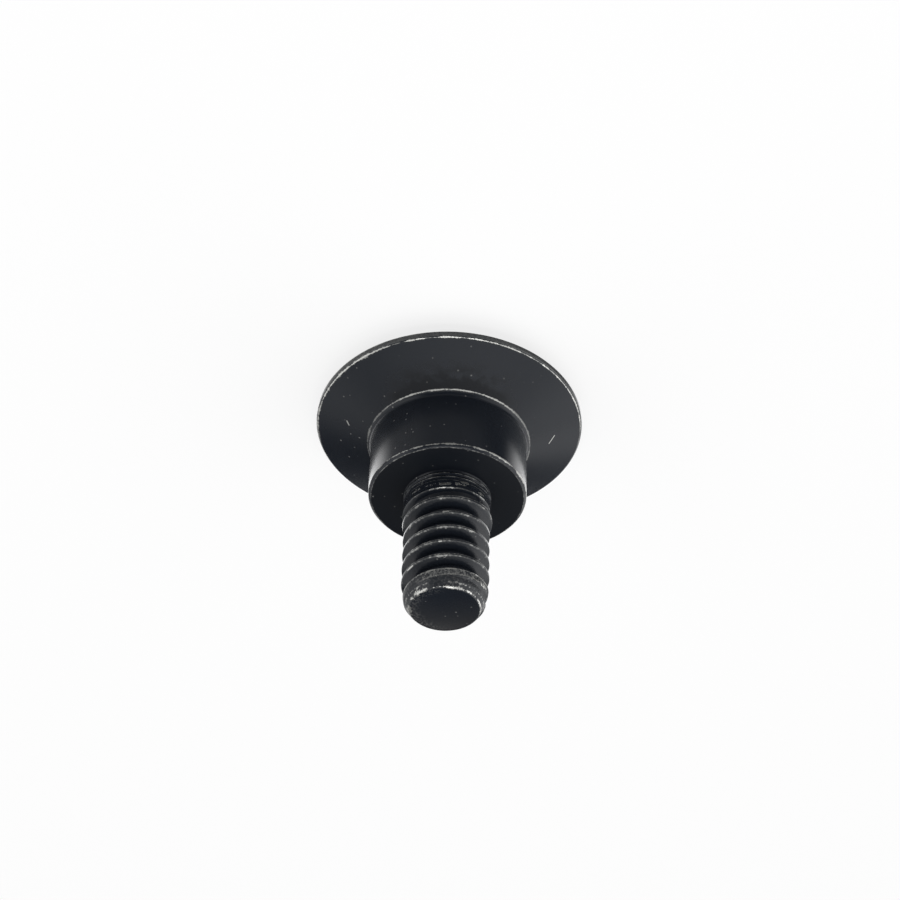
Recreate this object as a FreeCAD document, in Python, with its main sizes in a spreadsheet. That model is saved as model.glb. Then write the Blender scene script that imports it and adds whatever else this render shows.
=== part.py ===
# Oval head shoulder screw: one piece of blackened steel with a wide, thin oval head, a plain
# shoulder and a coarse right-hand thread. All sizes are in millimetres.
# The screw stands on its crown, with its axis on Z and the thread pointing up.
import FreeCAD, Part
import math
import os
import Sketcher

NODE = "oval_head_screw"

# Driving sizes: alias, value, meaning
SIZES = [
    ("head_diameter", 19.6, "outside of the rim"),
    ("crown_height", 1.5, "from the crown's flat up to the rim"),
    ("crown_land", 0.3, "width of the flat round the socket's mouth, which the screw stands on"),
    ("rim_thickness", 0.55, "height of the rim, with its bevels"),
    ("rim_bevel", 0.12, "bevel on each edge of the rim"),
    ("seat_rise", 1.68, "rise of the shallow cone under the head, from rim to shoulder"),
    ("shoulder_diameter", 11.4, "plain shoulder"),
    ("shoulder_length", 5.06, "from the cone's foot to the shoulder's end face"),
    ("shoulder_fillet", 0.45, "rounding between cone and shoulder"),
    ("shoulder_chamfer", 0.2, "edge of the shoulder's end face"),
    ("thread_diameter", 6.15, "major diameter"),
    ("thread_pitch", 1.27, "one turn's advance, 20 threads to the inch"),
    ("thread_length", 10.07, "from the shoulder's end face to the tip"),
    ("thread_angle", 60.0, "angle between the flanks"),
    ("crest_share", 0.125, "crest flat as a share of the pitch"),
    ("root_share", 0.25, "root flat as a share of the pitch"),
    ("neck_length", 0.44, "plain neck between shoulder and thread"),
    ("neck_runout_turns", 0.75, "turns in which the groove fades out at the neck"),
    ("tip_runout_turns", 0.6, "turns in which the groove fades out at the tip"),
    ("cutter_clearance", 0.05, "how far the cutting profile stands out of the shank"),
    ("point_length", 1.9, "slightly tapered end of the thread, with its chamfer"),
    ("point_taper", 0.205, "how much the point's taper takes off the radius"),
    ("tip_chamfer_length", 0.6, "height of the tip's chamfer"),
    ("tip_chamfer_width", 0.41, "how much the tip's chamfer takes off the radius"),
    ("tip_hollow", 0.2, "how much lower the middle of the tip's end face lies than its edge"),
    ("socket_width", 4.0, "hexagon socket across its flats"),
    ("socket_depth", 2.5, "depth of the socket's flats"),
    ("mouth_clearance", 0.19, "how far the countersunk mouth stands out past the socket's corners"),
    ("pilot_clearance", 0.05, "how far the drilled pilot stays inside the socket's flats"),
    ("pilot_overrun", 0.3, "how much deeper the drilled pilot is than the flats, without its cone"),
    ("drill_point_angle", 118.0, "cone at the bottom of the pilot"),
]


def heights():
    """Levels above the crown's flat, as expressions on the sheet."""
    rim_low = "Sizes.crown_height"
    rim_top = f"({rim_low} + Sizes.rim_thickness)"
    seat_foot = f"({rim_top} + Sizes.seat_rise)"
    shoulder_end = f"({seat_foot} + Sizes.shoulder_length)"
    tip = f"({shoulder_end} + Sizes.thread_length)"
    return rim_low, rim_top, seat_foot, shoulder_end, tip


RIM_LOW, RIM_TOP, SEAT_FOOT, SHOULDER_END, TIP = heights()
HEAD_RADIUS = "Sizes.head_diameter / 2"
SHOULDER_RADIUS = "Sizes.shoulder_diameter / 2"
THREAD_RADIUS = "Sizes.thread_diameter / 2"
PITCH = "Sizes.thread_pitch"
HALF_ANGLE = "(Sizes.thread_angle / 2 * 1 deg)"
THREAD_DEPTH = f"({PITCH} * (1 - Sizes.crest_share - Sizes.root_share) / 2 / tan({HALF_ANGLE}))"
SOCKET_CORNER_RADIUS = "(Sizes.socket_width / 2 / cos(30 deg))"
MOUTH_RADIUS = f"({SOCKET_CORNER_RADIUS} + Sizes.mouth_clearance)"
CROWN_FLAT_RADIUS = f"({MOUTH_RADIUS} + Sizes.crown_land)"


def make_sheet(doc):
    """The spreadsheet that drives every feature."""
    sheet = doc.addObject("Spreadsheet::Sheet", "Sizes")
    for row, (alias, value, meaning) in enumerate(SIZES, start=1):
        sheet.set(f"A{row}", alias)
        sheet.set(f"B{row}", str(value))
        sheet.set(f"C{row}", meaning)
        sheet.setAlias(f"B{row}", alias)
    doc.recompute()
    return sheet


def number(sheet, expression):
    """The present value of an expression on the sheet."""
    result = sheet.evalExpression(expression)
    return float(getattr(result, "Value", result))


def add_sketch(body, name, role):
    """A sketch on one of the body's origin planes."""
    planes = [plane for plane in body.Origin.OriginFeatures if plane.Role == role]
    sketch = body.newObject("Sketcher::SketchObject", name)
    sketch.AttachmentSupport = [(planes[0], "")]
    sketch.MapMode = "FlatFace"
    return sketch


def bind(sketch, constraint, expression):
    """Add a constraint whose value is bound to the sheet."""
    index = sketch.addConstraint(constraint)
    sketch.setExpression(f"Constraints[{index}]", expression)


def pin_corner(sheet, sketch, edge, corner):
    """Fix the start of an edge at a corner given by two expressions, or on an axis for 0."""
    across, up = corner
    if across == "0":
        sketch.addConstraint(Sketcher.Constraint("PointOnObject", edge, 1, -2))
    else:
        distance = Sketcher.Constraint("DistanceX", -1, 1, edge, 1, number(sheet, across))
        bind(sketch, distance, across)
    if up == "0":
        sketch.addConstraint(Sketcher.Constraint("PointOnObject", edge, 1, -1))
    else:
        distance = Sketcher.Constraint("DistanceY", -1, 1, edge, 1, number(sheet, up))
        bind(sketch, distance, up)


def crown_arc(start, end):
    """An arc about a centre on the axis, from a start on level 0 to an end above it."""
    level = (end.x ** 2 + end.y ** 2 - start.x ** 2) / (2 * end.y)
    centre = FreeCAD.Vector(0, level, 0)
    radius = (end - centre).Length
    towards = ((start + end) / 2 - centre).normalize()
    return Part.Arc(start, centre + towards * radius, end)


def rounding(before, corner, after, radius):
    """Start, centre and end of the arc that rounds a corner between two straight edges."""
    back = (before - corner).normalize()
    ahead = (after - corner).normalize()
    half_angle = back.getAngle(ahead) / 2
    reach = radius / math.tan(half_angle)
    inwards = (back + ahead).normalize()
    centre = corner + inwards * (radius / math.sin(half_angle))
    return corner + back * reach, centre, corner + ahead * reach


def add_arc(sketch, start, centre, end):
    """The shorter arc from start to end, and which of its points each of the two is."""
    first, last = start - centre, end - centre
    positions = (1, 2)
    if first.cross(last).z < 0:
        first, last = last, first
        positions = (2, 1)
    circle = Part.Circle(centre, FreeCAD.Vector(0, 0, 1), first.Length)
    begin = math.atan2(first.y, first.x)
    sweep = first.getAngle(last)
    return sketch.addGeometry(Part.ArcOfCircle(circle, begin, begin + sweep)), positions


def round_corner(sheet, sketch, edges, corner, arc_points, radius):
    """Join two edges with a tangent arc, and hold them to the corner that it rounds off."""
    before, after = edges
    arc, (near_before, near_after) = add_arc(sketch, *arc_points)
    sketch.addConstraint(Sketcher.Constraint("Tangent", before, 2, arc, near_before))
    sketch.addConstraint(Sketcher.Constraint("Tangent", after, 1, arc, near_after))
    bind(sketch, Sketcher.Constraint("Radius", arc, number(sheet, radius)), radius)
    place = FreeCAD.Vector(number(sheet, corner[0]), number(sheet, corner[1]), 0)
    point = sketch.addGeometry(Part.Point(place), True)
    sketch.addConstraint(Sketcher.Constraint("PointOnObject", point, 1, before))
    sketch.addConstraint(Sketcher.Constraint("PointOnObject", point, 1, after))
    pin_corner(sheet, sketch, point, corner)


def draw_outline(sheet, sketch, corners, arc_edge=None, radii=None):
    """A closed outline through the corners.

    arc_edge is the one edge that is an arc about the axis. radii maps a corner to its rounding.
    """
    radii = radii or {}
    places = [FreeCAD.Vector(number(sheet, across), number(sheet, up), 0) for across, up in corners]
    count = len(corners)
    starts = list(places)
    ends = places[1:] + places[:1]
    arcs = {}
    for corner, radius in radii.items():
        before, after = places[corner - 1], places[(corner + 1) % count]
        arcs[corner] = rounding(before, places[corner], after, number(sheet, radius))
        ends[corner - 1] = arcs[corner][0]
        starts[corner] = arcs[corner][2]
    for edge in range(count):
        if edge == arc_edge:
            sketch.addGeometry(crown_arc(starts[edge], ends[edge]))
        else:
            sketch.addGeometry(Part.LineSegment(starts[edge], ends[edge]))
    if arc_edge is not None:
        sketch.addConstraint(Sketcher.Constraint("PointOnObject", arc_edge, 3, -2))
    for edge, corner in enumerate(corners):
        before = (edge - 1) % count
        if edge in radii:
            round_corner(sheet, sketch, (before, edge), corner, arcs[edge], radii[edge])
        else:
            sketch.addConstraint(Sketcher.Constraint("Coincident", before, 2, edge, 1))
            pin_corner(sheet, sketch, edge, corner)


def revolve(body, kind, name, sketch):
    """A full turn of a sketch about the screw's axis."""
    feature = body.newObject(kind, name)
    feature.Profile = sketch
    feature.ReferenceAxis = (sketch, ["V_Axis"])
    feature.Angle = 360
    return feature


def add_shank(sheet, body):
    """The plain shank that the thread is cut in, with its tapered and chamfered point."""
    sketch = add_sketch(body, "shank_outline", "XZ_Plane")
    point_radius = f"({THREAD_RADIUS} - Sizes.point_taper)"
    corners = [
        ("0", SEAT_FOOT),
        (THREAD_RADIUS, SEAT_FOOT),
        (THREAD_RADIUS, f"{TIP} - Sizes.point_length"),
        (point_radius, f"{TIP} - Sizes.tip_chamfer_length"),
        (f"{point_radius} - Sizes.tip_chamfer_width", TIP),
        ("0", f"{TIP} - Sizes.tip_hollow"),
    ]
    draw_outline(sheet, sketch, corners)
    return revolve(body, "PartDesign::Revolution", "shank", sketch)


def groove_corners(level):
    """Cross-section of the thread groove, centred at a level."""
    root = f"{THREAD_RADIUS} - {THREAD_DEPTH}"
    outside = f"{THREAD_RADIUS} + Sizes.cutter_clearance"
    root_half = f"{PITCH} * Sizes.root_share / 2"
    outside_half = f"({root_half} + ({THREAD_DEPTH} + Sizes.cutter_clearance) * tan({HALF_ANGLE}))"
    return [
        (root, f"{level} - {root_half}"),
        (outside, f"{level} - {outside_half}"),
        (outside, f"{level} + {outside_half}"),
        (root, f"{level} + {root_half}"),
    ]


def cut_groove(sheet, body, name, level, turns, downwards=False, fades=False):
    """Cut a stretch of the right-hand groove, of even depth or fading out of the shank."""
    sketch = add_sketch(body, name + "_section", "XZ_Plane")
    draw_outline(sheet, sketch, groove_corners(level))
    groove = body.newObject("PartDesign::SubtractiveHelix", name)
    groove.Profile = sketch
    groove.ReferenceAxis = (sketch, ["V_Axis"])
    groove.Mode = "pitch-turns-angle"
    groove.setExpression("Pitch", PITCH)
    groove.setExpression("Turns", turns)
    groove.Reversed = downwards
    if fades:
        way_out = f"({THREAD_DEPTH} + Sizes.cutter_clearance)"
        groove.setExpression("Angle", f"atan({way_out} / ({PITCH} * {turns}))")
    return groove


def add_thread(sheet, body):
    """The coarse thread: full turns, and a run-out at the neck and at the tip."""
    neck_turns = "Sizes.neck_runout_turns"
    tip_turns = "Sizes.tip_runout_turns"
    start = f"({SHOULDER_END} + Sizes.neck_length + {neck_turns} * {PITCH})"
    room = f"(Sizes.thread_length - Sizes.neck_length) / {PITCH}"
    full_turns = f"floor({room} - {neck_turns} - {tip_turns})"
    end = f"({start} + {full_turns} * {PITCH})"
    return [
        cut_groove(sheet, body, "thread", start, full_turns),
        cut_groove(sheet, body, "neck_runout", start, neck_turns, downwards=True, fades=True),
        cut_groove(sheet, body, "tip_runout", end, tip_turns, fades=True),
    ]


def add_head(sheet, body):
    """The oval crown, the rim, the cone under the head and the shoulder."""
    sketch = add_sketch(body, "head_outline", "XZ_Plane")
    corners = [
        ("0", "0"),
        (CROWN_FLAT_RADIUS, "0"),
        (f"{HEAD_RADIUS} - Sizes.rim_bevel", RIM_LOW),
        (HEAD_RADIUS, f"{RIM_LOW} + Sizes.rim_bevel"),
        (HEAD_RADIUS, f"{RIM_TOP} - Sizes.rim_bevel"),
        (f"{HEAD_RADIUS} - Sizes.rim_bevel", RIM_TOP),
        (SHOULDER_RADIUS, SEAT_FOOT),
        (SHOULDER_RADIUS, SHOULDER_END),
        ("0", SHOULDER_END),
    ]
    radii = {6: "Sizes.shoulder_fillet"}
    draw_outline(sheet, sketch, corners, arc_edge=1, radii=radii)
    return revolve(body, "PartDesign::Revolution", "head_and_shoulder", sketch)


def ring_edge(sheet, shape, radius, level):
    """The name of the round edge of a radius at a level."""
    wanted_radius = number(sheet, radius)
    wanted_level = number(sheet, level)
    for index, edge in enumerate(shape.Edges, start=1):
        curve = edge.Curve
        if not isinstance(curve, Part.Circle):
            continue
        if abs(curve.Radius - wanted_radius) < 1e-4 and abs(curve.Center.z - wanted_level) < 1e-4:
            return f"Edge{index}"
    raise ValueError(f"no round edge of radius {wanted_radius} at {wanted_level}")


def chamfer_shoulder(sheet, body, head):
    """The chamfer round the shoulder's end face."""
    chamfer = body.newObject("PartDesign::Chamfer", "shoulder_chamfer")
    chamfer.Base = (head, [ring_edge(sheet, head.Shape, SHOULDER_RADIUS, SHOULDER_END)])
    chamfer.setExpression("Size", "Sizes.shoulder_chamfer")


def add_socket(sheet, body):
    """The hexagon socket in the crown, broached over a drilled and countersunk pilot."""
    pilot_radius = "(Sizes.socket_width / 2 - Sizes.pilot_clearance)"
    pilot_depth = "(Sizes.socket_depth + Sizes.pilot_overrun)"
    cone = f"{pilot_radius} / tan(Sizes.drill_point_angle / 2 * 1 deg)"
    sketch = add_sketch(body, "pilot_outline", "XZ_Plane")
    corners = [
        ("0", "0"),
        (MOUTH_RADIUS, "0"),
        (pilot_radius, f"{MOUTH_RADIUS} - {pilot_radius}"),
        (pilot_radius, pilot_depth),
        ("0", f"{pilot_depth} + {cone}"),
    ]
    draw_outline(sheet, sketch, corners)
    pilot = revolve(body, "PartDesign::Groove", "pilot", sketch)

    sketch = add_sketch(body, "hexagon", "XY_Plane")
    draw_hexagon(sheet, sketch, SOCKET_CORNER_RADIUS)
    socket = body.newObject("PartDesign::Pocket", "socket")
    socket.Profile = sketch
    socket.Reversed = True
    socket.setExpression("Length", "Sizes.socket_depth")
    return [pilot, socket]


def draw_hexagon(sheet, sketch, corner_radius):
    """A regular hexagon about the axis, with one corner on X."""
    radius = number(sheet, corner_radius)
    sides = 6
    places = []
    for side in range(sides):
        turn = math.radians(360 / sides * side)
        places.append(FreeCAD.Vector(radius * math.cos(turn), radius * math.sin(turn), 0))
    for side in range(sides):
        sketch.addGeometry(Part.LineSegment(places[side], places[(side + 1) % sides]))
    origin = FreeCAD.Vector(0, 0, 0)
    upright = FreeCAD.Vector(0, 0, 1)
    circle = sketch.addGeometry(Part.Circle(origin, upright, radius), True)
    sketch.addConstraint(Sketcher.Constraint("Coincident", circle, 3, -1, 1))
    for side in range(sides):
        sketch.addConstraint(Sketcher.Constraint("Coincident", side, 2, (side + 1) % sides, 1))
        sketch.addConstraint(Sketcher.Constraint("PointOnObject", side, 1, circle))
    for side in range(1, sides):
        sketch.addConstraint(Sketcher.Constraint("Equal", 0, side))
    sketch.addConstraint(Sketcher.Constraint("PointOnObject", 0, 1, -1))
    bind(sketch, Sketcher.Constraint("Radius", circle, radius), corner_radius)


def check_objects(doc):
    """Stop if any object of the document failed to build."""
    for item in doc.Objects:
        if "Invalid" in item.State or "Error" in item.State:
            raise RuntimeError(f"{item.Name} failed: {item.State}")


def check_cuts(features):
    """Stop if a cutting feature left the volume as it was."""
    for feature in features:
        before = feature.BaseFeature.Shape.Volume
        after = feature.Shape.Volume
        if after > before - 1e-6:
            raise RuntimeError(f"{feature.Name} cuts nothing")


def export(body):
    """Write the screw's solid."""
    shape = body.Shape
    if shape.isNull() or not shape.isValid() or len(shape.Solids) != 1:
        raise RuntimeError(f"{body.Label} isn't one valid solid")
    os.makedirs("parts", exist_ok=True)
    shape.exportStep(f"parts/{body.Label}.step")
    box = shape.BoundBox
    print(f"{body.Label}: {box.XLength:.2f} x {box.YLength:.2f} x {box.ZLength:.2f} mm, "
          f"{shape.Volume:.1f} mm3, {len(shape.Faces)} faces")


def main():
    doc = FreeCAD.newDocument("shoulder_screw")
    sheet = make_sheet(doc)
    body = doc.addObject("PartDesign::Body", "screw")
    body.Label = NODE
    add_shank(sheet, body)
    doc.recompute()
    cuts = add_thread(sheet, body)
    doc.recompute()
    head = add_head(sheet, body)
    doc.recompute()
    chamfer_shoulder(sheet, body, head)
    doc.recompute()
    cuts += add_socket(sheet, body)
    doc.recompute()
    check_objects(doc)
    check_cuts(cuts)
    export(body)


main()
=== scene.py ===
# Oval head shoulder screw, standing on its head: black finish on steel, worn bright on its edges.
# Shapes are worked out in millimetres and made metres at the end.
import bmesh
import bpy
import math
from mathutils import Matrix, Vector


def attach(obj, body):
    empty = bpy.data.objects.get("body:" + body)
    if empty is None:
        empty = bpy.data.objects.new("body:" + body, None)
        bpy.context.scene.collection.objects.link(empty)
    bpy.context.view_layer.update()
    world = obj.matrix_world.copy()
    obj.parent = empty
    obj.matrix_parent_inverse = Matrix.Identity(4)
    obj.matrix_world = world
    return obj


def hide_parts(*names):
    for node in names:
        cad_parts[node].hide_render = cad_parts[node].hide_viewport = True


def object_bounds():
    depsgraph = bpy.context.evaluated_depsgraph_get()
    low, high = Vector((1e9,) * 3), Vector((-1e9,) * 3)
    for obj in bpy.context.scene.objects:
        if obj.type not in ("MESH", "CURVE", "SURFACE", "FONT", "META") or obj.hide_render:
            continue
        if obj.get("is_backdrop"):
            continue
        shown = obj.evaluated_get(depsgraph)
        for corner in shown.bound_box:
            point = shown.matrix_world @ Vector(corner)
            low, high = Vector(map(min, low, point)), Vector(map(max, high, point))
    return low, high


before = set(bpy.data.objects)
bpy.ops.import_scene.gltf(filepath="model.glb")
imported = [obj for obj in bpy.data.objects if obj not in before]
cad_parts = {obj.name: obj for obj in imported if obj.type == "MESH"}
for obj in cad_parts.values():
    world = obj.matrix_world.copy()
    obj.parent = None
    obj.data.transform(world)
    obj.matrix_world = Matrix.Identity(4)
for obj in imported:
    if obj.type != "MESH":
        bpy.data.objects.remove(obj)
cad_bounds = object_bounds()

NODE = "oval_head_screw"
MM = 0.001
AXIS = (0, 0, 1)
CENTRE = (0, 0, 0)
FULL_TURN = 2 * math.pi
AROUND = 192
MERGE = 1e-4
SAME_PLACE = 1e-3
FLOOR_REACH = 3000

# Ways round the screw, from X: towards the camera, and to the picture's right
FRONT = math.radians(145)
RIGHT = math.radians(55)

# Socket
SOCKET_WIDTH = 4.0
SOCKET_DEPTH = 2.5
SOCKET_HALF_ANGLE = math.radians(30)
SOCKET_CORNER_RADIUS = SOCKET_WIDTH / 2 / math.cos(SOCKET_HALF_ANGLE)
MOUTH_RADIUS = 2.5
PILOT_RADIUS = SOCKET_WIDTH / 2 - 0.05
PILOT_DEPTH = SOCKET_DEPTH + 0.3
DRILL_HALF_ANGLE = math.radians(59)
PILOT_END = PILOT_DEPTH + PILOT_RADIUS / math.tan(DRILL_HALF_ANGLE)
CUT_START = -0.5

# Head and shoulder
CROWN_FLAT_RADIUS = MOUTH_RADIUS + 0.3
RIM_RADIUS = 9.8
RIM_BEVEL = 0.12
RIM_LOW = 1.5
RIM_TOP = RIM_LOW + 0.55
SEAT_FOOT = RIM_TOP + 1.68
SHOULDER_RADIUS = 5.7
SHOULDER_FILLET = 0.45
SHOULDER_CHAMFER = 0.2
SHOULDER_END = SEAT_FOOT + 5.06
BROKEN_EDGE = 0.045
SHARP_ANGLE = math.radians(32)

# Thread: GROOVE_LEVEL is where the groove's first turn starts. The groove deepens between GROOVE_START
# and GROOVE_FULL, both counted in turns from there, and past FULL_TURNS it runs out over TIP_TURNS.
THREAD_RADIUS = 3.075
END_FACE_INSIDE = THREAD_RADIUS + 0.3
PITCH = 1.27
FLANK_SLOPE = math.tan(math.radians(30))
CREST_HALF = PITCH / 16
ROOT_HALF = PITCH / 8
THREAD_DEPTH = (PITCH / 2 - CREST_HALF - ROOT_HALF) / FLANK_SLOPE
GROOVE_LEVEL = SHOULDER_END + 1.3925
GROOVE_START = -0.24
GROOVE_FULL = 0.76
GROOVE_LIFT = THREAD_DEPTH + 0.05
FULL_TURNS = 6
SPARE_TURNS = 2
TIP_TURNS = 0.6

# Neck: how far the first turns stand out at a few heights over the shoulder, and the fine ribs there
SWELL = ((0, 0.05), (0.16, 0.05), (0.61, 0.02), (1.51, 0.03), (2.21, 0.19), (3.21, 0))
RIB_HEIGHT = 0.04
RIB_PITCH = 0.31
FIRST_RIB = SHOULDER_END + 0.28
RIBS_END = SHOULDER_END + 0.91
RIBS_FADE = 1 / 3

# Tip
TIP = SHOULDER_END + 10.07
TAPER_LEVEL = TIP - 1.9
CHAMFER_LEVEL = TIP - 0.6
POINT_RADIUS = THREAD_RADIUS - 0.205
TIP_RADIUS = POINT_RADIUS - 0.41
TIP_HOLLOW = 0.2
TIP_ROUND_HEIGHT = 0.1
TIP_ROUND_INSET = 0.07

# Lines that wear bright, as radius and height: where the shoulder's fillet meets the cone, partly a
# painted highlight, the edge of the tip's end face, and near the middle of the tip's chamfer. The neck's
# line has a height alone.
FOOT_LINE_AND_HIGHLIGHT = (SHOULDER_RADIUS + 0.26, SEAT_FOOT - 0.11)
TIP_LINE = (TIP_RADIUS + 0.05, TIP - 0.08)
CHAMFER_LINE = (TIP_RADIUS + 0.26, TIP - 0.36)
# The neck's line is partly wear and partly a painted highlight.
NECK_LINE_LEVEL = SHOULDER_END + 1.21

# Scuffs, and three bright patches on the neck that are partly painted highlights: both ends, and half the
# width
SCUFFS_AND_HIGHLIGHTS = (
    ((4.46, 5.9, 3.02), (4.08, 6.61, 2.85), 0.03),
    ((-5.56, -5.23, 2.92), (-5.2, -5.3, 3.0), 0.04),
    # These three, on the near side of the neck, are partly wear and partly painted highlights.
    ((-2.8, 1.35, 10.09), (-2.47, 1.89, 10.04), 0.07),
    ((-1.79, 2.54, 9.74), (-1.43, 2.76, 9.71), 0.07),
    ((-3.09, -0.32, 10.01), (-3.09, -0.28, 10.0), 0.06),
    ((-2.65, 1.56, 12.61), (-2.46, 1.85, 12.55), 0.05),
    ((-2.76, 1.36, 15.26), (-2.7, 1.46, 15.24), 0.06),
    ((-2.79, -1.29, 16.77), (-2.99, -0.71, 16.72), 0.06),
    ((-3.07, 0.19, 17.82), (-2.95, 0.86, 17.68), 0.06),
)

# Colours
BLACK = (0.0075, 0.01, 0.015, 1)
PALER_BLACK = (0.0095, 0.0115, 0.0155, 1)
# Painted shade, on the shoulder's end face and round the shoulder's foot
PAINTED_SHADE_BLACK = (0.002, 0.003, 0.005, 1)
# Painted light, on the tip's end face
PAINTED_LIGHT_BLACK = (0.026, 0.026, 0.027, 1)
BARE_STEEL = (0.46, 0.46, 0.44, 1)
FLOOR_GREY = (0.8, 0.8, 0.8, 1)
WHITE = (1, 1, 1, 1)

# Camera and softbox: metres and degrees, the lens in millimetres and the power in watts
CAMERA_LENS = 91.6
CAMERA_PLACE = (-0.1026913, 0.0720399, 0.1154980)
CAMERA_TARGET = (0.0000633, 0.0000903, 0.0041269)
CAMERA_ROLL = -178.621
SOFTBOX_RISE = 62
SOFTBOX_DISTANCE = 0.32
SOFTBOX_SIZE = (0.25, 0.05)
SOFTBOX_POWER = 0.3
SOFTBOX_TARGET = (0, 0, 0.008)


# Meshes

def add_outline(bm, corners):
    """A line of edges through corners given as radius and height."""
    verts = [bm.verts.new((radius, 0, height)) for radius, height in corners]
    edges = [bm.edges.new(pair) for pair in zip(verts, verts[1:])]
    return verts, edges


def add_crown_arc(bm, start):
    """The dome of the crown, swept from the edge of the flat up to the rim."""
    end = Vector((RIM_RADIUS - RIM_BEVEL, RIM_LOW))
    level = (end.length_squared - CROWN_FLAT_RADIUS ** 2) / (2 * end.y)
    radius = math.hypot(CROWN_FLAT_RADIUS, level)
    sweep = math.asin(end.x / radius) - math.asin(CROWN_FLAT_RADIUS / radius)
    bmesh.ops.spin(bm, geom=[start], cent=(0, 0, level), axis=(0, -1, 0), angle=sweep, steps=14)


def lathe(bm):
    """A full turn of everything in the mesh about the screw's axis."""
    bmesh.ops.spin(bm, geom=bm.verts[:] + bm.edges[:], cent=CENTRE, axis=AXIS,
                   angle=FULL_TURN, steps=AROUND, use_merge=True)
    bmesh.ops.remove_doubles(bm, verts=bm.verts[:], dist=MERGE)


def ring(bm, radius, height):
    """The edges of the circle of a radius at a height."""
    def on_ring(vert):
        return abs(vert.co.xy.length - radius) < SAME_PLACE and abs(vert.co.z - height) < SAME_PLACE
    return [edge for edge in bm.edges if on_ring(edge.verts[0]) and on_ring(edge.verts[1])]


def round_ring(bm, radius, height, offset, segments):
    """Round off the circle of a radius at a height."""
    bmesh.ops.bevel(bm, geom=ring(bm, radius, height), offset=offset, offset_type="OFFSET",
                    segments=segments, profile=0.5, affect="EDGES", material=-1)


def make_head():
    """Crown, rim, cone and shoulder, open where the thread joins the shoulder's end face."""
    bm = bmesh.new()
    verts, _ = add_outline(bm, [(0, 0), (CROWN_FLAT_RADIUS, 0)])
    add_crown_arc(bm, verts[-1])
    inset = RIM_RADIUS - RIM_BEVEL
    rim = [
        (inset, RIM_LOW),
        (RIM_RADIUS, RIM_LOW + RIM_BEVEL),
        (RIM_RADIUS, RIM_TOP - RIM_BEVEL),
        (inset, RIM_TOP),
    ]
    chamfer = [
        (SHOULDER_RADIUS, SHOULDER_END - SHOULDER_CHAMFER),
        (SHOULDER_RADIUS - SHOULDER_CHAMFER, SHOULDER_END),
    ]
    add_outline(bm, rim + [(SHOULDER_RADIUS, SEAT_FOOT)] + chamfer + [(END_FACE_INSIDE, SHOULDER_END)])
    bmesh.ops.remove_doubles(bm, verts=bm.verts[:], dist=SAME_PLACE)
    lathe(bm)
    for radius, height in rim + chamfer:
        round_ring(bm, radius, height, BROKEN_EDGE, segments=3)
    slope = math.atan2(SEAT_FOOT - RIM_TOP, inset - SHOULDER_RADIUS)
    reach = SHOULDER_FILLET / math.tan((math.pi / 2 + slope) / 2)
    round_ring(bm, SHOULDER_RADIUS, SEAT_FOOT, reach, segments=8)
    return bm


def swell(height):
    """How far the first turns stand out past the thread's size, with fine ribs at the neck."""
    above = height - SHOULDER_END
    for (low, first), (high, last) in zip(SWELL, SWELL[1:]):
        if above < high:
            outward = first + (last - first) * (above - low) / (high - low)
            rib = math.cos(FULL_TURN * (height - FIRST_RIB) / RIB_PITCH)
            return outward + RIB_HEIGHT * rib * min(max(RIBS_END - height, 0) / RIBS_FADE, 1)
    return 0


def shank_radius(height):
    """Outside radius of the shank, which tapers to its point and ends in a chamfer with a round edge."""
    if height <= TAPER_LEVEL:
        return THREAD_RADIUS + swell(height)
    if height <= CHAMFER_LEVEL:
        share = (height - TAPER_LEVEL) / (CHAMFER_LEVEL - TAPER_LEVEL)
        return THREAD_RADIUS + (POINT_RADIUS - THREAD_RADIUS) * share
    share = (height - CHAMFER_LEVEL) / (TIP - CHAMFER_LEVEL)
    into_round = max((height - TIP) / TIP_ROUND_HEIGHT + 1, 0)
    return POINT_RADIUS + (TIP_RADIUS - POINT_RADIUS) * share - TIP_ROUND_INSET * into_round ** 3


def way_out(height, turns):
    """How far the groove has moved out of the shank: along a cone at the neck, a spiral at the tip."""
    lead = (height - GROOVE_LEVEL) / PITCH
    share = max((GROOVE_FULL - lead) / (GROOVE_FULL - GROOVE_START), (turns - FULL_TURNS) / TIP_TURNS)
    return GROOVE_LIFT * min(max(share, 0), 1)


def fade_thread(bm):
    """Let the groove run out at both ends, and taper the point."""
    for vert in bm.verts:
        height = vert.co.z
        radius = vert.co.xy.length
        turn = math.atan2(vert.co.y, vert.co.x) / FULL_TURN % 1
        nearest = round((height - GROOVE_LEVEL) / PITCH - turn)
        lifted = radius + way_out(height, nearest + turn) + swell(height)
        vert.co.xy *= min(lifted, shank_radius(height)) / radius


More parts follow.
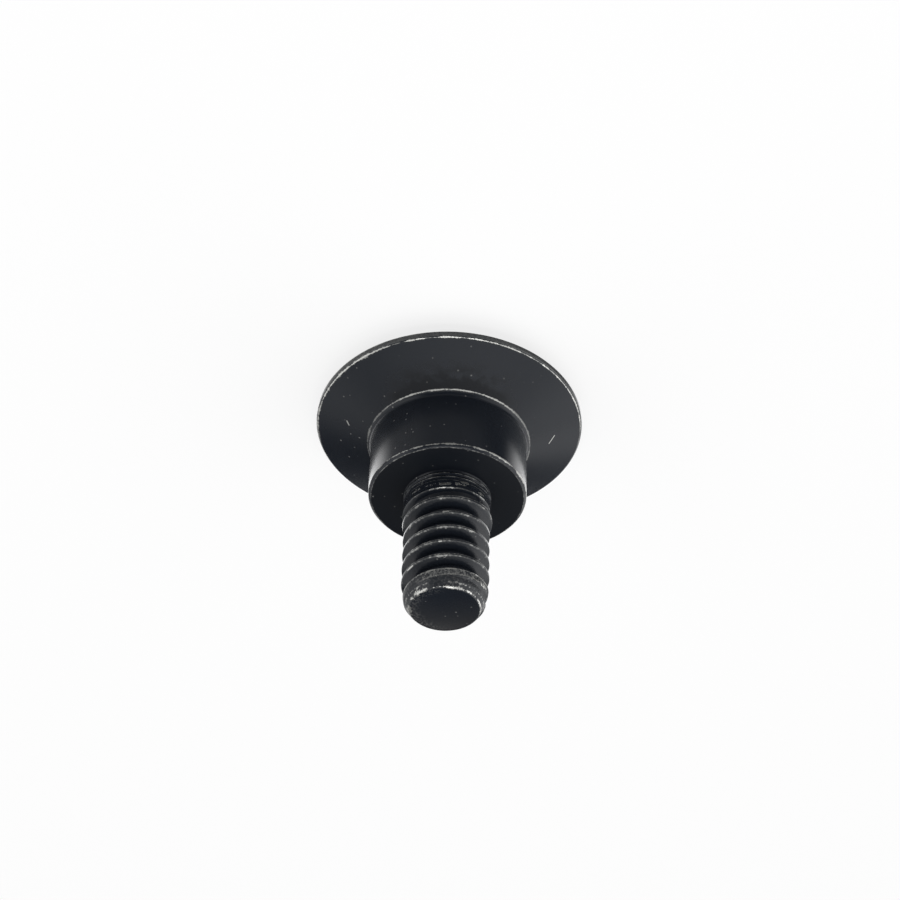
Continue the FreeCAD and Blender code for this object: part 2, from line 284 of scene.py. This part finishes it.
def make_thread():
    """The right-hand thread: one pitch's outline swept up a helix, cut level at both ends."""
    bm = bmesh.new()
    start = GROOVE_LEVEL - SPARE_TURNS * PITCH
    half = PITCH / 2
    root = THREAD_RADIUS - THREAD_DEPTH
    flank = half - CREST_HALF
    corners = [
        (THREAD_RADIUS, start - half),
        (THREAD_RADIUS, start - flank),
        (root, start - ROOT_HALF),
        (root, start + ROOT_HALF),
        (THREAD_RADIUS, start + flank),
        (THREAD_RADIUS, start + half),
    ]
    _, edges = add_outline(bm, corners)
    bmesh.ops.subdivide_edges(bm, edges=[edges[1], edges[3]], cuts=6)
    bmesh.ops.subdivide_edges(bm, edges=[edges[2]], cuts=2)
    bmesh.ops.spin(bm, geom=bm.verts[:] + bm.edges[:], cent=CENTRE, axis=AXIS,
                   angle=FULL_TURN, steps=AROUND, dvec=(0, 0, PITCH / AROUND))
    one_turn = bm.verts[:] + bm.edges[:] + bm.faces[:]
    for turn in range(1, FULL_TURNS + 2 * SPARE_TURNS):
        copied = bmesh.ops.duplicate(bm, geom=one_turn)["geom"]
        verts = [item for item in copied if isinstance(item, bmesh.types.BMVert)]
        bmesh.ops.translate(bm, vec=(0, 0, PITCH * turn), verts=verts)
    bmesh.ops.remove_doubles(bm, verts=bm.verts[:], dist=MERGE)
    tip_rings = [TIP - TIP_ROUND_HEIGHT * share for share in (1, 0.4, 0.12, 0)]
    for height in [SHOULDER_END, TAPER_LEVEL, CHAMFER_LEVEL] + tip_rings:
        bmesh.ops.bisect_plane(bm, geom=bm.verts[:] + bm.edges[:] + bm.faces[:],
                               plane_co=(0, 0, height), plane_no=AXIS, dist=1e-5,
                               clear_outer=height == TIP, clear_inner=height == SHOULDER_END)
    fade_thread(bm)
    return bm


def open_edges(bm, height):
    """The open edges at a height."""
    return [edge for edge in bm.edges if edge.is_boundary
            and all(abs(vert.co.z - height) < SAME_PLACE for vert in edge.verts)]


def close_tip(bm):
    """The slightly hollow end face of the tip, in rings towards the middle."""
    loop = open_edges(bm, TIP)
    for share in (0.94, 0.8, 0.6, 0.4, 0.2):
        made = bmesh.ops.extrude_edge_only(bm, edges=loop)["geom"]
        verts = [item for item in made if isinstance(item, bmesh.types.BMVert)]
        radius = (TIP_RADIUS - TIP_ROUND_INSET) * share
        for vert in verts:
            vert.co.xy *= radius / vert.co.xy.length
            vert.co.z = TIP - TIP_HOLLOW * (1 - share * share)
        loop = [item for item in made if isinstance(item, bmesh.types.BMEdge) and item.is_boundary]
    bmesh.ops.triangle_fill(bm, edges=loop, use_beauty=True)


def make_socket_cutters():
    """The drilled pilot with its countersunk mouth, and the hexagon, as two closed solids."""
    pilot = bmesh.new()
    add_outline(pilot, [
        (0, CUT_START),
        (MOUTH_RADIUS - CUT_START, CUT_START),
        (PILOT_RADIUS, MOUTH_RADIUS - PILOT_RADIUS),
        (PILOT_RADIUS, PILOT_DEPTH),
        (0, PILOT_END),
    ])
    lathe(pilot)
    hexagon = bmesh.new()
    depth = SOCKET_DEPTH - CUT_START
    middle = Matrix.Translation((0, 0, CUT_START + depth / 2))
    bmesh.ops.create_cone(hexagon, cap_ends=True, segments=6, depth=depth,
                          radius1=SOCKET_CORNER_RADIUS, radius2=SOCKET_CORNER_RADIUS,
                          matrix=middle @ Matrix.Rotation(SOCKET_HALF_ANGLE, 4, "Z"))
    return [pilot, hexagon]


def as_object(bm, name):
    """A finished mesh in metres, with outward faces and smooth shading."""
    bmesh.ops.recalc_face_normals(bm, faces=bm.faces[:])
    bmesh.ops.scale(bm, vec=(MM, MM, MM), verts=bm.verts[:])
    for face in bm.faces:
        face.smooth = True
    mesh = bpy.data.meshes.new(name)
    bm.to_mesh(mesh)
    bm.free()
    piece = bpy.data.objects.new(name, mesh)
    bpy.context.scene.collection.objects.link(piece)
    return piece


def cut_away(piece, cutters):
    """Cut each closed mesh out of the piece for good."""
    for cutter in cutters:
        tool = as_object(cutter, "cutter")
        cut = piece.modifiers.new("cut", "BOOLEAN")
        cut.operation = "DIFFERENCE"
        cut.solver = "EXACT"
        cut.object = tool
        graph = bpy.context.evaluated_depsgraph_get()
        result = bpy.data.meshes.new_from_object(piece.evaluated_get(graph))
        piece.modifiers.clear()
        piece.data = result
        bpy.data.objects.remove(tool)


def append_mesh(bm, other):
    """Add another mesh to this one."""
    mesh = bpy.data.meshes.new("joined")
    other.to_mesh(mesh)
    other.free()
    bm.from_mesh(mesh)
    bpy.data.meshes.remove(mesh)


def make_screw():
    """Head and thread as one closed mesh, with the socket cut into the crown."""
    bm = make_head()
    thread = make_thread()
    close_tip(thread)
    append_mesh(bm, thread)
    bmesh.ops.triangle_fill(bm, edges=open_edges(bm, SHOULDER_END), use_beauty=True)
    screw = as_object(bm, "blackened_screw")
    cut_away(screw, make_socket_cutters())
    screw.data.set_sharp_from_angle(angle=SHARP_ANGLE)
    even = screw.modifiers.new("even", "WEIGHTED_NORMAL")
    even.keep_sharp = True
    return screw


# Finishes

class Field:
    """A node's output, with sums on it written as Python."""

    def __init__(self, finish, socket):
        self.finish = finish
        self.socket = socket

    def out(self, name):
        """Another output of the same node."""
        return Field(self.finish, self.socket.node.outputs[name])

    def math(self, operation, *others, clamp=False):
        """A Math node on this value and the others."""
        inputs = dict(enumerate((self,) + others))
        settings = {"operation": operation, "use_clamp": clamp}
        return self.finish.node("ShaderNodeMath", settings, inputs)

    def __add__(self, other):
        return self.math("ADD", other)

    def __radd__(self, other):
        return self.math("ADD", other)

    def __sub__(self, other):
        return self.math("SUBTRACT", other)

    def __rsub__(self, other):
        return (self * -1).math("ADD", other)

    def __mul__(self, other):
        return self.math("MULTIPLY", other)

    def __rmul__(self, other):
        return self.math("MULTIPLY", other)

    def __truediv__(self, other):
        return self.math("DIVIDE", other)

    def __abs__(self):
        return self.math("ABSOLUTE")

    def __round__(self):
        return self.math("ROUND")

    def at_least(self, other):
        """The larger of two values."""
        return self.math("MAXIMUM", other)

    def at_most(self, other):
        """The smaller of two values."""
        return self.math("MINIMUM", other)

    def hypot(self, other):
        """The length of the two values taken as a vector."""
        return (self * self + other * other).math("SQRT")

    def ramp(self, low, high):
        """0 below low, 1 above high, and a smooth step between them. low may be the higher one."""
        settings = {"interpolation_type": "SMOOTHSTEP"}
        return self.finish.node("ShaderNodeMapRange", settings, {0: self, 1: low, 2: high})


class Finish:
    """A material or world, made of nodes."""

    def __init__(self, owner):
        owner.use_nodes = True
        self.owner = owner
        self.tree = owner.node_tree
        self.tree.nodes.clear()

    def node(self, kind, settings=None, inputs=None, output=0):
        """A node with its settings, then the values or links of its sockets."""
        node = self.tree.nodes.new(kind)
        for name, value in (settings or {}).items():
            setattr(node, name, value)
        for name, value in (inputs or {}).items():
            if isinstance(value, Field):
                self.tree.links.new(value.socket, node.inputs[name])
            else:
                node.inputs[name].default_value = value
        return Field(self, node.outputs[output]) if node.outputs else None

    def vector(self, operation, *vectors, output=0, **scale):
        """A Vector Math node on these vectors."""
        inputs = dict(enumerate(vectors)) | scale
        return self.node("ShaderNodeVectorMath", {"operation": operation}, inputs, output)

    def place_mm(self):
        """The point on the piece, in millimetres."""
        return self.vector("SCALE", self.node("ShaderNodeTexCoord", output="Object"), Scale=1 / MM)

    def parts(self, vector):
        """The X, Y and Z of a vector."""
        split = self.node("ShaderNodeSeparateXYZ", inputs={0: vector})
        return split, split.out("Y"), split.out("Z")

    def noise(self, place, scale, detail, roughness):
        """Fractal noise, from 0 to 1."""
        inputs = {"Vector": place, "Scale": scale, "Detail": detail, "Roughness": roughness}
        return self.node("ShaderNodeTexNoise", inputs=inputs)

    def mix(self, share, first, second):
        """A colour between two others."""
        return self.node("ShaderNodeMix", {"data_type": "RGBA"}, {0: share, 6: first, 7: second}, output=2)


def along(x, y, way):
    """How far a point or direction reaches along a level way."""
    return x * math.cos(way) + y * math.sin(way)


class Wear:
    """Masks of where the black finish is rubbed through, 0 on the finish and 1 on bare steel. The line at
    the shoulder's foot and the bright marks on the neck are partly painted highlights.
    """

    def __init__(self, finish):
        self.finish = finish
        self.place = finish.place_mm()
        x, y, self.z = finish.parts(self.place)
        self.radius = x.hypot(y)
        self.turn = y.math("ARCTAN2", x) / FULL_TURN
        self.right = along(x, y, RIGHT)
        self.front = along(x, y, FRONT)
        self.frontal = self.front / self.radius
        self.near_side = self.frontal.ramp(0.55, 0.9)
        self.facing = self.frontal.ramp(0.1, 0.8) * 0.7 + 0.3
        self.broken = finish.noise(self.place, scale=1.1, detail=4.0, roughness=0.6)
        self.fine = finish.noise(self.place, scale=6.0, detail=3.0, roughness=0.6)
        self.chips = self.broken * 0.6 + self.fine * 0.4
        tip_disc = self.radius.ramp(TIP_RADIUS, TIP_RADIUS - 0.1)
        self.on_tip_face = self.z.ramp(TIP - 0.25, TIP - 0.2) * tip_disc

    def rubbed(self, distance, bare, spread, soft=0.03):
        """Wear along an edge: bare sets how much of it is rubbed, spread how wide."""
        reach = (self.chips - 0.5 + bare) * spread
        return (reach - distance).ramp(-soft, soft)

    def from_ring(self, radius, height):
        """The distance to a circle round the axis."""
        return (self.radius - radius).hypot(self.z - height)

    def rim(self):
        """Both edges of the rim, most on the near side, and a faint rub all round."""
        top_edge = self.from_ring(RIM_RADIUS - RIM_BEVEL, RIM_TOP)
        low_edge = self.from_ring(RIM_RADIUS, RIM_LOW + RIM_BEVEL)
        line = self.rubbed(top_edge, bare=0.1, spread=0.24)
        chipped = self.rubbed(top_edge, bare=0.02 - self.right * 0.007, spread=0.8) * 0.5
        low_chipped = self.rubbed(low_edge, bare=self.right * -0.012, spread=0.6) * 0.7
        all_round = self.radius.ramp(RIM_RADIUS - 0.1, RIM_RADIUS - 0.02) * self.fine * 0.25
        return (line + chipped + low_chipped) * self.front.ramp(-2.5, 1.5) + all_round

    def shoulder(self):
        """The line at the shoulder's foot, partly wear and partly a painted highlight, strongest on the
        near side, and both edges of its chamfer.
        """
        # Partly a painted highlight: bare steel drawn along the concave foot, strongest on the near side.
        foot_wear_and_highlight = self.rubbed(self.from_ring(*FOOT_LINE_AND_HIGHLIGHT), bare=0.1, spread=0.36)
        outer_edge = self.from_ring(SHOULDER_RADIUS, SHOULDER_END - SHOULDER_CHAMFER)
        inner_edge = self.from_ring(SHOULDER_RADIUS - SHOULDER_CHAMFER, SHOULDER_END)
        outer = self.rubbed(outer_edge, bare=self.right * 0.014 + 0.08, spread=0.42) * 0.8
        inner = self.rubbed(inner_edge, bare=0.03, spread=0.3) * 0.45
        return foot_wear_and_highlight * (self.near_side * 0.6 + 0.35) + outer + inner

    def crests(self):
        """The edges of the crests, found by following the helix, and the last crest as a whole."""
        lead = (self.z - GROOVE_LEVEL) / PITCH
        coil = lead - self.turn
        into_neck = (GROOVE_FULL - lead) / (GROOVE_FULL - GROOVE_START)
        into_tip = (round(coil) + self.turn - FULL_TURNS) / TIP_TURNS
        lifted = into_neck.at_least(into_tip).at_least(0.0) * GROOVE_LIFT
        depth = (THREAD_DEPTH - lifted).at_least(0.0)
        past_edge = abs(coil - round(coil)) * PITCH - depth * FLANK_SLOPE - ROOT_HALF
        near_tip = self.z.ramp(TAPER_LEVEL - 0.56, TAPER_LEVEL + 0.24)
        line = self.rubbed(abs(past_edge), bare=0.2, spread=0.22) * (self.fine * 0.14 + 0.05)
        chipped = self.rubbed(abs(past_edge), bare=-0.02, spread=near_tip * 0.6 + 0.6) * 0.6
        last_crest = past_edge.ramp(-0.02, 0.02) * near_tip * self.fine.ramp(0.4, 0.62) * 0.25
        ends = self.z.ramp(SHOULDER_END + 0.21, SHOULDER_END + 0.51) * self.z.ramp(TIP - 0.46, TIP - 0.66)
        on_shank = self.radius.ramp(THREAD_RADIUS + 0.325, THREAD_RADIUS + 0.225)
        worn = (line + chipped) * (near_tip + 1) + last_crest
        return worn * self.facing * depth.ramp(0.02, 0.1) * ends * on_shank

    def neck(self):
        """The fine ribs next to the shoulder, and a broken line where the thread starts, partly wear and
        partly a painted highlight, strongest on the near side.
        """
        steps = (self.z - FIRST_RIB) / RIB_PITCH
        to_rib = abs(steps - round(steps)) * RIB_PITCH
        ends = self.z.ramp(SHOULDER_END, SHOULDER_END + 0.05) * self.z.ramp(RIBS_END + 0.05, RIBS_END - 0.1)
        ribs = self.rubbed(to_rib, bare=0.05, spread=0.25) * ends * 0.4
        # Partly a painted highlight: the broken line where the thread starts, strongest on the near side.
        line = self.rubbed(abs(self.z - NECK_LINE_LEVEL), bare=-0.02, spread=1.5) * 0.8
        on_neck = self.radius.ramp(THREAD_RADIUS + 0.525, THREAD_RADIUS + 0.325)
        return (ribs + line) * self.facing * on_neck

    def tip(self):
        """The edge of the end face, the chamfer and the land round it, and chips on the face's left."""
        edge = self.rubbed(self.from_ring(*TIP_LINE), bare=0.02, spread=1.5 - self.right * 0.35, soft=0.05)
        chamfer = self.rubbed(self.from_ring(*CHAMFER_LINE), bare=0.02, spread=0.8) * 0.6
        outside = self.radius.ramp(TIP_RADIUS - 0.06, TIP_RADIUS - 0.01)
        land = self.z.ramp(TAPER_LEVEL + 0.04, TAPER_LEVEL + 0.84) * outside
        land = land * (self.fine.ramp(0.45, 0.7) * 0.08 + 0.03)
        left_part = self.radius.ramp(1.5, 2.4) * self.right.ramp(0.3, -1.2)
        face_chips = self.on_tip_face * self.fine.ramp(0.48, 0.62) * left_part * 0.12
        return edge * self.front.ramp(-1.8, 0.6) + chamfer * self.front.ramp(-1.0, 1.0) + land + face_chips

    def mark_between(self, start, end, half):
        """A scuff or bright patch from one point to another."""
        reach = Vector(end) - Vector(start)
        offset = self.finish.vector("SUBTRACT", self.place, start)
        share = self.finish.vector("DOT_PRODUCT", offset, reach, output=1) / reach.length_squared
        nearest = self.finish.vector("SCALE", tuple(reach), Scale=share.math("ADD", 0.0, clamp=True))
        distance = self.finish.vector("DISTANCE", offset, nearest, output=1)
        return distance.ramp(half * 1.6, half * 0.6)

    def specks(self):
        """Small bright dots, more of them to the left."""
        cells = self.finish.node("ShaderNodeTexVoronoi", inputs={
            "Vector": self.place, "Scale": 2.3, "Randomness": 1.0})
        chance = self.finish.node("ShaderNodeSeparateColor", inputs={0: cells.out("Color")})
        kept = chance.ramp(0.78, 0.8) * chance.out("Green") * self.right.ramp(9.0, -3.0)
        return cells.ramp(0.2, 0.08) * kept * 0.4

    def everywhere(self):
        """All the wear on the screw, with the line at the shoulder's foot and the bright marks on the neck
        partly painted highlights.
        """
        edges = self.rim() + self.shoulder() + self.crests() + self.neck() + self.tip()
        scuffs_and_highlights = sum(self.mark_between(*row) for row in SCUFFS_AND_HIGHLIGHTS) * (self.fine + 0.5)
        return (edges + self.specks() + scuffs_and_highlights).at_most(1.0)


def make_blackened_steel():
    """Black finish, rubbed through to bright steel on the edges and in specks, with painted shade on the
    shoulder's end face and round its foot, and painted light on the tip's end face.
    """
    finish = Finish(bpy.data.materials.new("blackened_steel"))
    wear = Wear(finish)
    z, radius, broken, fine = wear.z, wear.radius, wear.broken, wear.fine
    worn = wear.everywhere()

    # Painted shade: the shoulder's end face is drawn darker, and rougher.
    end_face = z.ramp(SHOULDER_END - 0.03, SHOULDER_END - 0.01)
    end_face = end_face * z.ramp(SHOULDER_END + 0.04, SHOULDER_END + 0.02)
    # Painted shade: a dark ring round the shoulder's foot and dark patches near it, on the near side, which
    # are also rougher.
    from_foot = radius - SHOULDER_RADIUS
    shade_patches = from_foot.ramp(2.7, 1.1) * wear.frontal.ramp(0.7, 0.95) * broken.ramp(0.35, 0.6)
    shade_round_foot = from_foot.ramp(0.3, 0.4) * from_foot.ramp(1.2, 0.6) * wear.near_side
    painted_foot_shade = (shade_patches + shade_round_foot).at_most(1.0) * z.ramp(SEAT_FOOT + 0.07, SEAT_FOOT - 0.13)
    thread = z.ramp(SHOULDER_END + 0.02, SHOULDER_END + 0.06)
    # Painted light: the tip's end face is drawn paler towards its edge and on its far side.
    tip_painted_light = wear.on_tip_face * (radius * 0.08 + 0.14 - wear.front * 0.2)

    black = finish.mix(broken, BLACK, PALER_BLACK)
    black = finish.mix(end_face * 0.75 + painted_foot_shade * 0.9, black, PAINTED_SHADE_BLACK)
    black = finish.mix(tip_painted_light, black, PAINTED_LIGHT_BLACK)
    grain = finish.node("ShaderNodeBump", inputs={
        "Strength": 0.15, "Distance": 0.00002, "Height": fine * (thread * 2 + 1) + worn * 0.5})
    shader = finish.node("ShaderNodeBsdfPrincipled", inputs={
        "Base Color": finish.mix(worn, black, BARE_STEEL),
        "Metallic": worn,
        "Roughness": fine * 0.05 + worn * 0.12 + end_face * 0.15 + painted_foot_shade * 0.3 - thread * 0.05 + 0.2,
        "Specular IOR Level": 0.25,
        "Normal": grain,
    })
    finish.node("ShaderNodeOutputMaterial", inputs={"Surface": shader})
    return finish.owner


# Stage

def make_floor():
    """White in the picture, with a faint shadow. In reflections it shows a painted reflection: it glows
    brightly just behind the screw and far to the right, dimly to the near left and far in front, and hardly
    at all just in front.
    """
    bm = bmesh.new()
    bmesh.ops.create_grid(bm, x_segments=1, y_segments=1, size=FLOOR_REACH)
    floor = as_object(bm, "floor")
    finish = Finish(bpy.data.materials.new("pale_floor"))
    x, y, _ = finish.parts(finish.place_mm())
    front = along(x, y, FRONT)
    right = along(x, y, RIGHT)
    # Painted reflection: this glow is seen only in reflections, as a pattern round the screw.
    behind = front.ramp(4.8, -2.5) * x.hypot(y).ramp(26, 16) * 2.5
    in_front = front.ramp(8.5, 13.0) * 0.3
    far_right = right.ramp(14.0, 40.0) * front.ramp(0.0, -20.0) * 1.2
    near_left = right.ramp(-2.0, -9.0) * front.ramp(16.0, 8.0) * 0.5
    level = behind + in_front + far_right + near_left + 0.03

    seen = finish.node("ShaderNodeLightPath", output="Is Camera Ray")
    reflected = seen.out("Is Glossy Ray").at_least(seen.out("Is Transmission Ray"))
    paper = finish.node("ShaderNodeBsdfDiffuse", inputs={"Color": FLOOR_GREY})
    glow = finish.node("ShaderNodeEmission", inputs={"Strength": seen + reflected * level})
    share = seen * 0.8 + reflected * 0.95
    shown = finish.node("ShaderNodeMixShader", inputs={0: share, 1: paper, 2: glow})
    finish.node("ShaderNodeOutputMaterial", inputs={"Surface": shown})
    floor.data.materials.append(finish.owner)
    floor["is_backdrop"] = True


def make_world():
    """A pale room, brighter above and at both sides, and white in the picture itself."""
    world = bpy.data.worlds.new("soft_room")
    bpy.context.scene.world = world
    finish = Finish(world)
    x, y, z = finish.parts(finish.node("ShaderNodeTexCoord", output="Generated"))
    front = along(x, y, FRONT)
    right = along(x, y, RIGHT)
    sky = z.ramp(0.1, 0.7) * 1.15 + z.ramp(0.8, 1.0) * 0.45 + right * 0.8
    behind = abs(right).ramp(0.45, 0.2) * z.ramp(0.87, 0.75) * front.ramp(0.0, -0.2)
    high_in_front = front.ramp(0.17, 0.34)
    right_window = right.ramp(0.5, 0.7) * 1.6
    left_window = right.ramp(-0.5, -0.72) * front.ramp(-0.95, -0.65) * 1.8
    right_corner = right.ramp(0.4, 0.48) * z.ramp(0.6, 0.48) * front.ramp(-0.65, -0.74) * 0.7
    level = sky * (1 - behind * 0.9) * (1 - high_in_front * 0.8) + right_window + left_window + right_corner
    level = (level * 0.8).at_least(0.04)
    seen = finish.node("ShaderNodeLightPath", output="Is Camera Ray")
    light = finish.node("ShaderNodeBackground", inputs={
        "Color": WHITE, "Strength": level + seen * (1 - level)})
    finish.node("ShaderNodeOutputWorld", inputs={"Surface": light})


def aim(thing, place, target, roll=0.0):
    """Point a lamp or camera at a target."""
    direction = Vector(target) - Vector(place)
    turn = direction.to_track_quat("-Z", "Y").to_matrix().to_4x4()
    thing.matrix_world = Matrix.Translation(place) @ turn @ Matrix.Rotation(math.radians(roll), 4, "Z")


def make_softbox():
    """A soft lamp over the camera."""
    lamp = bpy.data.lights.new("front_softbox", "AREA")
    lamp.shape = "RECTANGLE"
    lamp.size, lamp.size_y = SOFTBOX_SIZE
    lamp.energy = SOFTBOX_POWER
    thing = bpy.data.objects.new("front_softbox", lamp)
    bpy.context.scene.collection.objects.link(thing)
    rise = math.radians(SOFTBOX_RISE)
    way = Vector((math.cos(FRONT) * math.cos(rise), math.sin(FRONT) * math.cos(rise), math.sin(rise)))
    aim(thing, way * SOFTBOX_DISTANCE, SOFTBOX_TARGET)


def make_camera():
    """The photo's view."""
    camera = bpy.data.cameras.new("camera")
    camera.lens = CAMERA_LENS
    camera.sensor_width = 36
    camera.clip_start = 0.01
    thing = bpy.data.objects.new("camera", camera)
    bpy.context.scene.collection.objects.link(thing)
    aim(thing, CAMERA_PLACE, CAMERA_TARGET, CAMERA_ROLL)
    bpy.context.scene.camera = thing


make_world()
make_floor()
make_softbox()
make_camera()

screw = make_screw()
screw.data.materials.clear()
screw.data.materials.append(make_blackened_steel())
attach(screw, "root")
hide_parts(NODE)

bpy.context.scene.view_settings.view_transform = "Standard"
[[list(corner) for corner in box] for box in (cad_bounds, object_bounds())]
